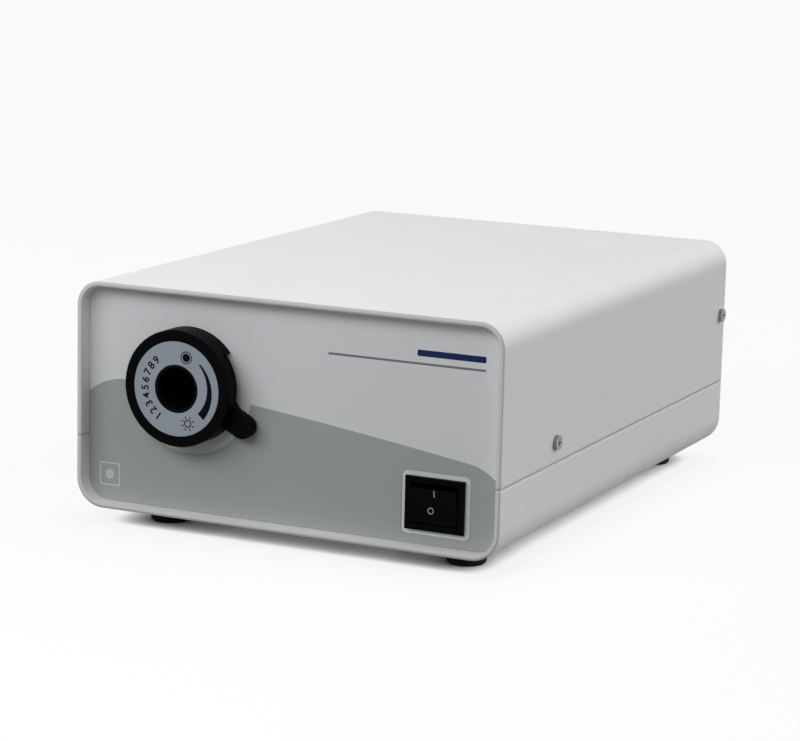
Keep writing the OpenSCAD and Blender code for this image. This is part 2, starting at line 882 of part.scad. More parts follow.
module lamp_clip() {
    color("silver") place() on_axis() {
        along_y(lamp_y - 1.3, lamp_y - 0.2) intersection() {
            difference() {
                circle(reflector_r + 4);
                circle(reflector_r - 1.2);
            }
            wedge(20, 160);
        }
        for (a = [35, 145]) rotate([0, -a, 0]) translate([reflector_r + 1.4, lamp_y - 1.3, -3])
            cube([2.2, 3.5, 6]);
    }
}

module thermal_cutout() {
    color("black") place() translate([axis_x + 24, bracket_y + bracket_t, axis_z + 20]) {
        rod(6, 0.05, 7);
        for (s = [-1, 1]) translate([s * 3 - 0.4, 6.9, -2.5]) cube([0.8, 7, 5]);
    }
}

// ---- transformer ----------------------------------------------------------------

core_z = floor_z + foot_t + 0.2;

module transformer_core() {
    color([0.35, 0.36, 0.38]) place() translate([core_x - core_w / 2, core_y + 13, core_z]) difference() {
        cube([core_w, core_d, core_h]);
        for (s = [0, 1]) translate([core_w / 6 * (1 + 3 * s), -1, core_h / 6])
            cube([core_w / 6, core_d + 2, core_h * 2 / 3]);
    }
}

module transformer_coil() {
    w = core_w * 2 / 3 - 1;
    h = core_h * 2 / 3 - 1;
    limb = core_w / 3;
    color([0.85, 0.65, 0.25]) place() translate([core_x, core_y, core_z + core_h / 2]) difference() {
        translate([-w / 2, 0.5, -h / 2]) cube([w, coil_d - 1, h]);
        translate([-limb / 2 - 0.3, 13 - 0.3, -h]) cube([limb + 0.6, core_d + 0.6, 2 * h]);
    }
}

module transformer_foot_places() {
    for (s = [-1, 1], y = [0, 1])
        translate([core_x + s * (core_w / 2 + 7), core_y + 20 + y * (core_d - 14), 0]) children();
}

module transformer_frame() {
    color("silver") place() difference() {
        union() {
            translate([core_x - core_w / 2 - 14, core_y + 13, floor_z]) cube([core_w + 28, core_d, foot_t]);
            for (s = [-1, 1]) translate([core_x + s * (core_w / 2 + 1.1) - 1, core_y + 13, floor_z])
                cube([2, core_d, core_h + foot_t + 2]);
            translate([core_x - core_w / 2 - 2.1, core_y + 13, core_z + core_h + 0.1])
                cube([core_w + 4.2, core_d, 1.5]);
        }
        transformer_foot_places() translate([0, 0, -1]) cylinder(r = 2.2, h = 8);
    }
}

module transformer_screws() {
    color("silver") place() transformer_foot_places() translate([0, 0, floor_z + foot_t])
        rotate([-90, 0, 0]) pan_screw(2, foot_t - 0.1, 3.8, 2.4);
}

// ---- fan -------------------------------------------------------------------------

module fan_frame() {
    color([0.1, 0.1, 0.11]) place() translate([axis_x, 0, fan_z]) {
        difference() {
            along_y(fan_y, rear_in - 0.2) square([fan_w, fan_w], center = true);
            rod(fan_hole_r, fan_y - 1, rear_in + 1);
            for (x = [-1, 1], z = [-1, 1]) translate([x * fan_pitch / 2, 0, z * fan_pitch / 2])
                rod(2.15, fan_y - 1, rear_in + 1);
        }
        // struts and motor mount at the inlet side
        for (a = [45, 165, 285]) rotate([0, -a, 0]) translate([fan_hub_r - 3, fan_y, -2])
            cube([fan_hole_r - fan_hub_r + 4, 3, 4]);
        rod(fan_hub_r, fan_y, fan_y + 3);
        rod(1.5, fan_y, fan_y + 16);
    }
}

module fan_rotor() {
    y0 = fan_y + 3.6;
    y1 = rear_in - 2;
    color([0.12, 0.12, 0.13]) place() translate([axis_x, 0, fan_z]) difference() {
        union() {
            rod(fan_hub_r, y0, y1);
            for (i = [0:fan_blades - 1]) rotate([0, i * 360 / fan_blades, 0]) intersection() {
                translate([fan_hub_r - 4, (y0 + y1) / 2, 0]) rotate([38, 0, 0])
                    translate([0, -12, -0.8]) cube([fan_hole_r - fan_hub_r + 3, 24, 1.6]);
                rod(fan_hole_r - 0.8, y0 + 0.5, y1 - 0.5);
            }
        }
        rod(1.5 + run, y0 - 1, fan_y + 17);
    }
}

module fan_screws() {
    color("silver") place() translate([axis_x, 0, fan_z])
        for (x = [-1, 1], z = [-1, 1]) translate([x * fan_pitch / 2, rear_y, z * fan_pitch / 2])
            rotate([0, 0, 180]) pan_screw(2, panel_t + 12, 3.6, 2.2);
}

// ---- circuit board -----------------------------------------------------------------

module board_corners() {
    for (x = [-1, 1], y = [-1, 1])
        translate([board_x + x * (board_w / 2 - 5), board_y + y * (board_l / 2 - 5), 0]) children();
}

module circuit_board() {
    color("darkgreen") place() difference() {
        translate([board_x - board_w / 2, board_y - board_l / 2, board_z])
            cube([board_w, board_l, board_t]);
        board_corners() cylinder(r = 1.7, h = 30);
    }
}

cap_r = 8;
cap_h = 25;
small_cap_r = 5;
small_cap_h = 16;
sink = [15, 6, 15];
relay = [18, 15, 14];
terminals = [40, 8, 9];

// Two capacitors, a power device's heat sink, a relay and the row of terminals.
module board_parts() {
    color("dimgray") place() translate([board_x, board_y, board_z + board_t]) {
        translate([-board_w / 4 + 1, -board_l / 5, 0]) cylinder(r = cap_r, h = cap_h);
        translate([board_w / 10, -board_l / 5, 0]) cylinder(r = small_cap_r, h = small_cap_h);
        translate([-board_w / 3, board_l / 10, 0]) cube(sink);
        translate([2, board_l / 20, 0]) cube(relay);
        translate([-board_w / 3, board_l * 0.3, 0]) cube(terminals);
    }
}

module board_posts() {
    color("silver") place() board_corners() {
        translate([0, 0, floor_z]) cylinder(r = 3, h = board_z - floor_z);
        translate([0, 0, board_z - 0.01]) cylinder(r = 1.6, h = board_t + 0.1);
        translate([0, 0, board_z + board_t]) cylinder(r = 2.8, h = 1.8);
    }
}

// ---- power switch ------------------------------------------------------------------

module on_switch() {
    translate([switch_x, panel_y, switch_z]) children();
}

module switch_body() {
    color([0.04, 0.04, 0.05]) place() on_switch() difference() {
        union() {
            translate([-switch_w / 2, -bezel_t, -switch_h / 2]) cube([switch_w, bezel_t - 0.01, switch_h]);
            translate([-switch_cut_w / 2 + 0.1, -0.02, -switch_cut_h / 2 + 0.1])
                cube([switch_cut_w - 0.2, switch_body_d, switch_cut_h - 0.2]);
        }
        translate([-rocker_w / 2 - rocker_side, -bezel_t - 1, -rocker_h / 2 - rocker_gap])
            cube([rocker_w + 2 * rocker_side, bezel_t + 13, rocker_h + 2 * rocker_gap]);
        translate([0, rocker_pivot_y, 0]) rotate([0, 90, 0])
            cylinder(r = 1.5 + run, h = rocker_w + 2.6, center = true);
    }
}

// Side profile of the rocker about its pivot: two flats that meet in a valley.
module switch_rocker() {
    front = rocker_pivot_y + bezel_t;
    half = rocker_h / 2;
    rise = half * tan(rocker_tilt);
    color([0.03, 0.03, 0.04]) place() on_switch() translate([0, rocker_pivot_y, 0])
        rotate([rocker_tilt, 0, 0]) {
            translate([-rocker_w / 2, 0, 0]) rotate([90, 0, 90]) linear_extrude(rocker_w) difference() {
                polygon([[-front, 0], [-front - rise, half - 1.2], [-front - rise + 1, half - 0.4],
                    [-front + 5.5, half - 0.6], [3.4, 3], [3.4, -3], [-front + 5.5, -half + 0.6],
                    [-front - rise + 1, -half + 0.4], [-front - rise, -half + 1.2]]);
            }
            rotate([0, 90, 0]) cylinder(r = 1.5, h = rocker_w + 2.4, center = true);
        }
}

module switch_tabs() {
    color("goldenrod") place() on_switch() for (x = [-tab_x, tab_x], z = [-tab_z, 0, tab_z])
        translate([x - 0.4, switch_body_d, z - 2.4]) cube([0.8, tab_l, 4.8]);
}

// ---- mains inlet -------------------------------------------------------------------

earth_x = body_w / 2 - 10;
earth_z = 66;

module on_inlet() {
    translate([inlet_x, rear_y, inlet_z]) children();
}

module inlet_body() {
    w = inlet_w - 2 * inlet_ear - 2 * fit;
    color([0.06, 0.06, 0.07]) place() on_inlet() difference() {
        union() {
            translate([-inlet_w / 2, 0, -inlet_h / 2]) cube([inlet_w, inlet_t, inlet_h]);
            translate([-w / 2, -24, -inlet_h / 2 + 2.2]) cube([w, 24.02, inlet_h - 4.4]);
        }
        // cavity with its two sloped upper corners
        translate([0, inlet_t + 0.02, cavity_z]) rotate([90, 0, 0]) linear_extrude(cavity_d) polygon([
            [-cavity_w / 2, -cavity_h / 2], [cavity_w / 2, -cavity_h / 2],
            [cavity_w / 2, cavity_h / 2 - 4], [cavity_w / 2 - 4, cavity_h / 2],
            [-cavity_w / 2 + 4, cavity_h / 2], [-cavity_w / 2, cavity_h / 2 - 4]]);
        translate([-drawer_w / 2 - side_gap, -drawer_l - 0.5, drawer_z - drawer_h / 2 - side_gap])
            cube([drawer_w + 2 * side_gap, 30, drawer_h + 2 * side_gap]);
        for (s = [-1, 1]) translate([s * inlet_screw_x, 0, 0]) rod(small_screw_r + fit, -1, inlet_t + 1);
        for (p = inlet_pin_places) translate([p[0], 0, cavity_z + p[1]])
            translate([-2, -25, -1]) cube([4, 25 - cavity_d + inlet_t + 1, 2]);
    }
}

inlet_pin_places = [[-7, -2], [7, -2], [0, 2]];
pin_len = 13.3;

module inlet_pins() {
    color("silver") place() on_inlet() for (p = inlet_pin_places)
        translate([p[0] - 1.95, inlet_t - cavity_d - pin_tail, cavity_z + p[1] - 0.95])
            cube([3.9, pin_len + pin_tail, 1.9]);
}

module fuse_drawer() {
    color([0.06, 0.06, 0.07]) place() on_inlet() difference() {
        union() {
            translate([-drawer_w / 2, -drawer_l, drawer_z - drawer_h / 2])
                cube([drawer_w, drawer_l + inlet_t + 0.5, drawer_h]);
            translate([-drawer_w / 2 - 1, inlet_t + 0.4, drawer_z - drawer_h / 2 - 0.5])
                cube([drawer_w + 2, 1.6, drawer_h + 1]);
        }
        // pocket of the two fuses, and the pull's notch
        translate([-10.4, 1 - drawer_l, drawer_z - drawer_h / 2 + 1])
            cube([20.8, drawer_l - 1.5, drawer_h]);
        translate([-4, inlet_t + 1.2, drawer_z + drawer_h / 2 - 1.5]) cube([8, 1, 3]);
    }
}

module fuses() {
    color([0.8, 0.85, 0.85]) place() on_inlet() for (y = [6.5 - drawer_l, -7])
        translate([-10, y, drawer_z - drawer_h / 2 + 1.2 + fuse_r]) rotate([0, 90, 0])
            cylinder(r = fuse_r, h = 20);
}

module inlet_screws() {
    color("silver") place() on_inlet() for (s = [-1, 1]) translate([s * inlet_screw_x, inlet_t, 0])
        rotate([0, 0, 180]) pan_screw(small_screw_r, inlet_t + panel_t + 3, small_head_r, small_head_h);
}

module earth_stud() {
    color("goldenrod") place() translate([earth_x, 0, earth_z]) {
        rod(2.5, rear_in - 6, body_d - 2);
        difference() {
            rod(5, rear_y + 0.02, rear_y + 1);
            rod(2.5, rear_y - 1, rear_y + 2);
        }
    }
}

// ---- wiring --------------------------------------------------------------------------

bend_r = 4;
wire_r = 1.2;
fan_wire_r = 0.8;

function way(a, b) = (b - a) / norm(b - a);

// Puts children at p with their Z along d, one of the axes.
module facing(p, d) {
    e = [d[1], d[2], d[0]];
    n = cross(d, e);
    multmatrix([[e[0], n[0], d[0], p[0]], [e[1], n[1], d[1], p[1]], [e[2], n[2], d[2], p[2]]])
        children();
}

// A quarter bend at p, from direction u into direction v.
module bend(p, u, v, r) {
    c = p + bend_r * (v - u);
    w = cross(u, v);
    multmatrix([[-v[0], u[0], w[0], c[0]], [-v[1], u[1], w[1], c[1]], [-v[2], u[2], w[2], c[2]]])
        rotate_extrude(angle = 90) translate([bend_r, 0]) circle(r, $fn = 24);
}

// A round wire through points that are joined by legs along the axes.
module wire(points, r = wire_r) {
    last = len(points) - 1;
    for (i = [0:last - 1]) {
        d = way(points[i], points[i + 1]);
        from = i > 0 ? bend_r : 0;
        to = i < last - 1 ? bend_r : 0;
        facing(points[i] + from * d, d)
            cylinder(r = r, h = norm(points[i + 1] - points[i]) - from - to, $fn = 24);
    }
    for (i = [1:last - 1])
        bend(points[i], way(points[i - 1], points[i]), way(points[i], points[i + 1]), r);
}

pin_end = rear_y + inlet_t - cavity_d - pin_tail;
tab_end = panel_y + switch_body_d + tab_l;
wire_z = floor_z + wire_r;
coil_front = core_y + 0.5;
coil_back = core_y + coil_d - 0.5;
block_left = board_x - board_w / 3;     // the board's terminal block
block_right = block_left + terminals[0];
block_y = board_y + board_l * 0.3;
block_z = board_z + board_t + terminals[2] / 2;

// Live and neutral: from the inlet to the switch, and on to the transformer.
module mains_wiring() {
    z = inlet_z + cavity_z + inlet_pin_places[0][1];
    side = [body_w / 2 - bottom_r, body_w / 2 - bottom_r - 2 * wire_r - 0.1];
    back = [pin_end - 15, pin_end - 21];
    front = [tab_end + 9, tab_end + 15];
    color("saddlebrown") place() {
        for (i = [0, 1]) {
            pin = inlet_x + inlet_pin_places[i][0];
            tab = switch_x + tab_x * (1 - 2 * i);
            row = switch_z + tab_z * (1 - 2 * i);
            wire([[pin, pin_end, z], [pin, back[i], z], [pin, back[i], wire_z],
                [side[i], back[i], wire_z], [side[i], front[i], wire_z], [side[i], front[i], row],
                [tab, front[i], row], [tab, tab_end, row]]);
        }
        wire([[switch_x - tab_x, tab_end, switch_z], [switch_x - tab_x, coil_front - 10, switch_z],
            [core_x + 18, coil_front - 10, switch_z], [core_x + 18, coil_front, switch_z]]);
        wire([[switch_x + tab_x, tab_end, switch_z], [switch_x + tab_x, coil_front - 6, switch_z],
            [switch_x + tab_x, coil_front - 6, switch_z + 10],
            [core_x + 8, coil_front - 6, switch_z + 10], [core_x + 8, coil_front, switch_z + 10]]);
    }
}

// From the transformer to the board, and from there to the lamp and the fan.
module low_voltage_wiring() {
    z = core_z + core_h / 3;
    row = [block_y + 2, block_y + 6];
    left = [axis_x + 32, axis_x + 28];
    back = [socket_end + 11, socket_end + 17];
    pin = [axis_x + 3, axis_x - 3];
    color("firebrick") place() {
        wire([[core_x - 8, coil_back, z], [core_x - 8, coil_back + 11, z],
            [core_x + 2, coil_back + 11, z], [core_x + 2, row[0], z], [core_x + 2, row[0], block_z],
            [block_right, row[0], block_z]]);
        wire([[core_x + 8, coil_back, z], [core_x + 8, row[1], z], [core_x + 8, row[1], block_z],
            [block_right, row[1], block_z]]);
        for (i = [0, 1]) {
            fan_lead_y = fan_y + 4 + 4 * i;
            fan_lead_x = block_left + 4 + 4 * i;
            wire([[block_left, row[i], block_z], [left[i], row[i], block_z],
                [left[i], back[i], block_z], [left[i], back[i], axis_z], [pin[i], back[i], axis_z],
                [pin[i], socket_end, axis_z]]);
            wire([[axis_x + fan_w / 2, fan_lead_y, fan_z - 30], [fan_lead_x, fan_lead_y, fan_z - 30],
                [fan_lead_x, fan_lead_y, block_z], [fan_lead_x, block_y + terminals[1], block_z]],
                fan_wire_r);
        }
    }
}

module earth_wire() {
    z = inlet_z + cavity_z + inlet_pin_places[2][1];
    back = pin_end - 7;
    color("yellowgreen") place() wire([[inlet_x, pin_end, z], [inlet_x, back, z], [earth_x, back, z],
        [earth_x, back, earth_z], [earth_x, rear_in - 6, earth_z]]);
}

// ---- assembly ------------------------------------------------------------------------

top_cover();
base_tray();
front_panel();
wave_film();
rear_panel();
foot_front_left();
foot_front_right();
foot_rear_left();
foot_rear_right();
foot_screws();
cover_screws();
panel_screws();
rear_screws();
port_drum();
dial_plate();
drum_screws();
light_guide_sleeve();
sleeve_screws();
lever_ring();
drive_pins();
cam_ring();
iris_front_plate();
iris_rear_plate();
iris_pillars();
iris_nuts();
iris_blade_1();
iris_blade_2();
iris_blade_3();
iris_blade_4();
iris_blade_5();
heat_glass();
glass_holder();
lamp_reflector();
lamp_capsule();
lamp_socket();
lamp_bracket();
lamp_clip();
thermal_cutout();
transformer_core();
transformer_coil();
transformer_frame();
transformer_screws();
fan_frame();
fan_rotor();
fan_screws();
circuit_board();
board_parts();
board_posts();
switch_body();
switch_rocker();
switch_tabs();
inlet_body();
inlet_pins();
fuse_drawer();
fuses();
inlet_screws();
earth_stud();
mains_wiring();
low_voltage_wiring();
earth_wire();
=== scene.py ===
"""Looks, print, floor, light and camera of the fibre optic illuminator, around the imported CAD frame."""

import json
import math

import bmesh
import bpy
from mathutils import Matrix, Vector


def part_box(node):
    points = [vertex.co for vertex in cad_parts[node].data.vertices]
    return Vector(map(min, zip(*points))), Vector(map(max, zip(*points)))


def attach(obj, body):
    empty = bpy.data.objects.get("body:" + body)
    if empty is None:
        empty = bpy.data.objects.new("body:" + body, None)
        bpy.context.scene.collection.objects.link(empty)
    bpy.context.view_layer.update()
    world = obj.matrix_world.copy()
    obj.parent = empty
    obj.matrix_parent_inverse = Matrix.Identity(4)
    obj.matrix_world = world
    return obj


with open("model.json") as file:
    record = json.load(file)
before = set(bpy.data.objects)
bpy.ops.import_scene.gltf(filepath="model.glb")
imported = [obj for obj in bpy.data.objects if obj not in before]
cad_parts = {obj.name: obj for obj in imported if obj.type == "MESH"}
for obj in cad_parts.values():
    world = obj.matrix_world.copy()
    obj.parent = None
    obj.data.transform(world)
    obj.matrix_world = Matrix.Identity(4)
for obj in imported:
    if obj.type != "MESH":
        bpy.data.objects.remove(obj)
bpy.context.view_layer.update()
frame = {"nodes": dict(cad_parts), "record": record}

nodes = frame["nodes"]
MM = 0.001  # a millimetre in the frame's metres

# ---------------------------------------------------------------- places taken from the frame

tray_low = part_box("base_tray")[0]
RIM_Y = tray_low.y / MM  # front rim of the housing
BASE_Z = tray_low.z / MM  # bottom of the housing, which is the height of the feet
port_low, port_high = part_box("dial_plate")
AXIS_X = (port_low.x + port_high.x) / 2 / MM
AXIS_Z = (port_low.z + port_high.z) / 2 / MM - BASE_Z


def place(x, y, z):
    """A point of the frame, given in millimetres from the housing's middle, front rim and bottom."""
    return Vector((x, y + RIM_Y, z + BASE_Z)) * MM


DIAL_CENTRE = place(AXIS_X, 0, AXIS_Z)
FRONT_MIDDLE = place(0, 0, 60)


# ---------------------------------------------------------------- materials

WHITE = (1, 1, 1, 1)


def srgb(r, g, b):
    """An 8-bit display colour as linear values with alpha."""
    line = [c / 255 for c in (r, g, b)]
    return [c / 12.92 if c <= 0.04045 else ((c + 0.055) / 1.055) ** 2.4 for c in line] + [1.0]


class Nodes:
    """A material's node tree with short calls for the nodes that the finishes share."""

    def __init__(self, name):
        self.material = bpy.data.materials.new(name)
        self.material.use_nodes = True
        self.tree = self.material.node_tree
        self.shader = self.tree.nodes["Principled BSDF"]
        self.place = self.add("ShaderNodeTexCoord").outputs["Object"]

    def add(self, kind, **settings):
        node = self.tree.nodes.new(kind)
        for key, value in settings.items():
            setattr(node, key, value)
        return node

    def link(self, source, target):
        self.tree.links.new(source, target)

    def put(self, target, value):
        """Links value to a socket where it is one, and sets it otherwise."""
        if isinstance(value, bpy.types.NodeSocket):
            self.link(value, target)
        else:
            target.default_value = value

    def set(self, **values):
        """Sets or links sockets of the shader, by their names with underscores for blanks."""
        for key, value in values.items():
            self.put(self.shader.inputs[key.replace("_", " ")], value)

    def moved(self, offset=(0, 0, 0), scale=(1, 1, 1), turn=(0, 0, 0)):
        node = self.add("ShaderNodeMapping")
        node.inputs["Location"].default_value = offset
        node.inputs["Rotation"].default_value = turn
        node.inputs["Scale"].default_value = scale
        self.link(self.place, node.inputs["Vector"])
        return node.outputs["Vector"]

    def noise(self, scale, detail=3.0, roughness=0.5, at=None):
        node = self.add("ShaderNodeTexNoise")
        node.inputs["Scale"].default_value = scale
        node.inputs["Detail"].default_value = detail
        node.inputs["Roughness"].default_value = roughness
        self.link(at or self.place, node.inputs["Vector"])
        return node.outputs["Fac"]

    def cells(self, scale):
        node = self.add("ShaderNodeTexVoronoi")
        node.inputs["Scale"].default_value = scale
        self.link(self.place, node.inputs["Vector"])
        return node.outputs["Distance"]

    def bands(self, scale, direction="Z", at=None, rings=False, distortion=0.0):
        node = self.add("ShaderNodeTexWave", wave_type="RINGS" if rings else "BANDS")
        if rings:
            node.rings_direction = direction
        else:
            node.bands_direction = direction
        node.inputs["Scale"].default_value = scale
        node.inputs["Distortion"].default_value = distortion
        self.link(at or self.place, node.inputs["Vector"])
        return node.outputs["Fac"]

    def dial_place(self):
        """Coordinates from the centre of the light port."""
        return self.moved(offset=tuple(-c for c in DIAL_CENTRE))

    def span(self, value, low, high, start=0.0, end=1.0):
        """Maps a value from start..end to low..high, and stops there."""
        node = self.add("ShaderNodeMapRange")
        self.link(value, node.inputs["Value"])
        for key, number in zip(("From Min", "From Max", "To Min", "To Max"), (start, end, low, high)):
            self.put(node.inputs[key], number)
        return node.outputs["Result"]

    def mix(self, share, a, b, blend="MIX"):
        node = self.add("ShaderNodeMix", data_type="RGBA", blend_type=blend)
        self.put(node.inputs["Factor"], share)
        colours = [s for s in node.inputs if s.type == "RGBA"]
        self.put(colours[0], a)
        self.put(colours[1], b)
        return [s for s in node.outputs if s.type == "RGBA"][0]

    def math(self, operation, a, b=0.0):
        node = self.add("ShaderNodeMath", operation=operation)
        self.put(node.inputs[0], a)
        self.put(node.inputs[1], b)
        return node.outputs["Value"]

    def rounded(self, radius, samples=6):
        """Normals that round each edge by that radius in millimetres."""
        node = self.add("ShaderNodeBevel", samples=samples)
        node.inputs["Radius"].default_value = radius * MM
        return node.outputs["Normal"]

    def edges(self, normal):
        """1 on the edges that a rounded normal leaves, 0 on the faces."""
        real = self.add("ShaderNodeNewGeometry").outputs["Normal"]
        dot = self.add("ShaderNodeVectorMath", operation="DOT_PRODUCT")
        self.link(normal, dot.inputs[0])
        self.link(real, dot.inputs[1])
        return self.span(dot.outputs["Value"], 1.0, 0.0, 0.80, 0.995)

    def bump(self, height, depth, normal=None):
        """A bump of that depth in millimetres."""
        node = self.add("ShaderNodeBump")
        node.inputs["Strength"].default_value = 1.0
        node.inputs["Distance"].default_value = depth * MM
        self.link(height, node.inputs["Height"])
        if normal is not None:
            self.link(normal, node.inputs["Normal"])
        return node.outputs["Normal"]


def scaled(colour, by, plus=0.0):
    """A linear colour made lighter or darker."""
    return [min(1, c * by + plus) for c in colour[:3]] + [1]


def coated(name, colour, worn, rough, grain, grain_depth, radius, mottling=0.03, wear=0.35, **more):
    """Paint or moulded plastic: soft mottling, a fine surface grain, and paler rubbed edges.

    rough is the middle of the roughness and grain the fineness of the grain. grain_depth and the edge
    radius are in millimetres, mottling and wear are shares, and more goes to the shader's own sockets.
    """
    n = Nodes(name)
    cloud = n.noise(22, 4, 0.55)
    base = n.mix(n.span(cloud, 0, 1, 0.3, 0.7), scaled(colour, 1 - mottling), scaled(colour, 1 + mottling))
    round_normal = n.rounded(radius)
    rubbed = n.math("MULTIPLY", n.edges(round_normal), n.span(n.noise(160, 5, 0.7), 0, wear, 0.42, 0.72))
    n.set(Base_Color=n.mix(rubbed, base, worn))
    smear = n.noise(60, 4, 0.6)
    n.set(Roughness=n.span(smear, rough - 0.05, rough + 0.06, 0.25, 0.75))
    n.set(Normal=n.bump(n.noise(grain, 2, 0.5), grain_depth, round_normal))
    n.set(**more)
    return n


def metal(name, colour, dark, rough, brushed, radius):
    """Bare metal: fine drawn lines along one axis, clouds of dulled surface and bright edges."""
    n = Nodes(name)
    lines = n.noise(1400, 2, 0.5, n.moved(scale=brushed))
    cloud = n.noise(70, 4, 0.6)
    round_normal = n.rounded(radius, 4)
    base = n.mix(n.span(cloud, 0, 1, 0.3, 0.7), dark, colour)
    bright = scaled(colour, 1.25)
    n.set(Base_Color=n.mix(n.math("MULTIPLY", n.edges(round_normal), 0.5), base, bright))
    n.set(Metallic=1.0, Roughness=n.span(lines, rough - 0.07, rough + 0.1, 0.2, 0.8))
    n.set(Normal=n.bump(lines, 0.01, round_normal))
    return n


def housing_paint():
    """Light grey powder coat."""
    return coated(
        "housing_paint", srgb(240, 240, 238), srgb(250, 250, 248),
        rough=0.5, grain=1500, grain_depth=0.012, radius=2.6, mottling=0.012, Specular_IOR_Level=0.2,
    )


def panel_paint():
    """Smooth grey lacquer, a little bluer than the housing."""
    return coated(
        "panel_paint", srgb(238, 240, 243), srgb(248, 249, 251),
        rough=0.42, grain=1900, grain_depth=0.006, radius=0.3, mottling=0.012, Specular_IOR_Level=0.2,
    )


def film_grey():
    """Printed polycarbonate film with a matt grain."""
    return coated(
        "film_grey", srgb(178, 184, 181), srgb(190, 195, 192),
        rough=0.55, grain=2600, grain_depth=0.006, radius=0.06, mottling=0.015, Specular_IOR_Level=0.2,
    )


def black_moulding():
    """Satin black plastic with a spark-eroded grain."""
    return coated(
        "black_moulding", srgb(3, 3, 5), srgb(30, 30, 36),
        rough=0.42, grain=1700, grain_depth=0.02, radius=0.4,
        mottling=0.2, wear=0.2, Specular_IOR_Level=0.03,
    )


def switch_black():
    """Glossy black nylon."""
    return coated(
        "switch_black", srgb(2, 2, 4), srgb(26, 26, 32),
        rough=0.30, grain=2400, grain_depth=0.006, radius=0.35,
        mottling=0.2, wear=0.15, Specular_IOR_Level=0.03,
    )


def fan_black():
    """Glass-filled black plastic of the fan."""
    return coated(
        "fan_black", srgb(24, 24, 25), srgb(80, 80, 82),
        rough=0.5, grain=1300, grain_depth=0.03, radius=0.3, mottling=0.25, wear=0.2,
    )


def foot_rubber():
    """Black rubber with a dusty bloom."""
    return coated(
        "foot_rubber", srgb(22, 22, 22), srgb(60, 60, 58),
        rough=0.85, grain=1100, grain_depth=0.05, radius=0.6,
        mottling=0.3, wear=0.3, Specular_IOR_Level=0.2,
    )


def dial_label():
    """Bluish silver label film: a fine turned grain around the light port."""
    n = Nodes("dial_label")
    rings = n.bands(900, "Y", n.dial_place(), rings=True, distortion=1.5)
    cloud = n.noise(45, 3, 0.6)
    base = n.mix(n.span(cloud, 0, 1, 0.3, 0.7), srgb(148, 157, 168), srgb(156, 164, 175))
    n.set(Base_Color=n.mix(n.math("MULTIPLY", rings, 0.06), base, srgb(190, 198, 208)))
    n.set(Metallic=0.15, Roughness=n.span(rings, 0.36, 0.46), Specular_IOR_Level=0.4)
    n.set(Normal=n.bump(rings, 0.004, n.rounded(0.12, 4)))
    return n


def port_anodised():
    """Black anodised aluminium with turning marks."""
    n = Nodes("port_anodised")
    turned = n.noise(900, 2, 0.5, n.moved(scale=(0.05, 1, 0.05)))
    rings = n.bands(700, "Y", n.dial_place(), rings=True, distortion=2.0)
    round_normal = n.rounded(0.25, 4)
    base = n.mix(n.span(n.noise(80, 4, 0.6), 0, 1, 0.3, 0.7), srgb(8, 9, 16), srgb(13, 14, 23))
    n.set(Base_Color=n.mix(n.math("MULTIPLY", n.edges(round_normal), 0.3), base, srgb(70, 72, 84)))
    n.set(Roughness=n.span(turned, 0.34, 0.52, 0.3, 0.7), Specular_IOR_Level=0.03)
    n.set(Normal=n.bump(rings, 0.004, round_normal))
    return n


def iris_steel():
    """Blued spring steel."""
    return metal(
        "iris_steel", srgb(70, 76, 92), srgb(44, 48, 60),
        rough=0.34, brushed=(0.1, 1, 1), radius=0.06,
    )


def zinc_steel():
    """Zinc-plated screws and posts with the faint colours of passivation."""
    return metal(
        "zinc_steel", srgb(166, 168, 168), srgb(122, 124, 126),
        rough=0.3, brushed=(1, 1, 0.15), radius=0.1,
    )


def core_steel():
    """Stacked electrical steel under thin varnish: laminations show as fine lines."""
    n = Nodes("core_steel")
    sheets = n.bands(330, "Y", distortion=0.15)
    rust = n.noise(120, 5, 0.7)
    base = n.mix(n.span(sheets, 0, 1, 0.3, 0.7), srgb(58, 60, 66), srgb(104, 108, 114))
    n.set(Base_Color=n.mix(n.span(rust, 0, 0.3, 0.55, 0.8), base, srgb(96, 74, 58)))
    n.set(Metallic=0.75, Roughness=n.span(rust, 0.35, 0.6, 0.3, 0.8))
    n.set(Normal=n.bump(sheets, 0.06, n.rounded(0.2, 4)))
    return n


def coil_tape():
    """Polyester tape wound over the coil: overlapping turns with shiny ridges."""
    n = Nodes("coil_tape")
    turns = n.bands(26, "Z", n.moved(turn=(0, math.radians(4), 0)), distortion=0.4)
    crease = n.noise(200, 5, 0.6)
    base = n.mix(n.span(turns, 0, 1, 0.2, 0.8), srgb(204, 160, 58), srgb(226, 188, 88))
    n.set(Base_Color=n.mix(n.span(crease, 0, 0.3, 0.5, 0.8), base, srgb(168, 122, 40)))
    n.set(Roughness=n.span(crease, 0.22, 0.4, 0.3, 0.7), Coat_Weight=0.3)
    n.set(Normal=n.bump(turns, 0.12, n.rounded(0.4, 4)))
    return n


def clear_glass():
    """Clear glass with faint dust."""
    n = Nodes("clear_glass")
    dust = n.noise(300, 5, 0.7)
    n.set(Base_Color=n.mix(n.span(dust, 0, 0.15, 0.5, 0.8), srgb(250, 252, 252), srgb(214, 220, 220)))
    n.set(Roughness=n.span(dust, 0.02, 0.14, 0.45, 0.8), Transmission_Weight=1.0, IOR=1.47)
    return n


def reflector_coat():
    """Facetted mirror coat of the lamp's reflector with a warm and cool play of colour."""
    n = Nodes("reflector_coat")
    facets = n.cells(260)
    tint = n.mix(n.span(n.noise(55, 2, 0.5), 0, 1, 0.35, 0.65), srgb(214, 206, 228), srgb(232, 222, 196))
    n.set(Base_Color=tint, Metallic=0.9, Roughness=n.span(facets, 0.08, 0.2))
    n.set(Normal=n.bump(facets, 0.2))
    return n


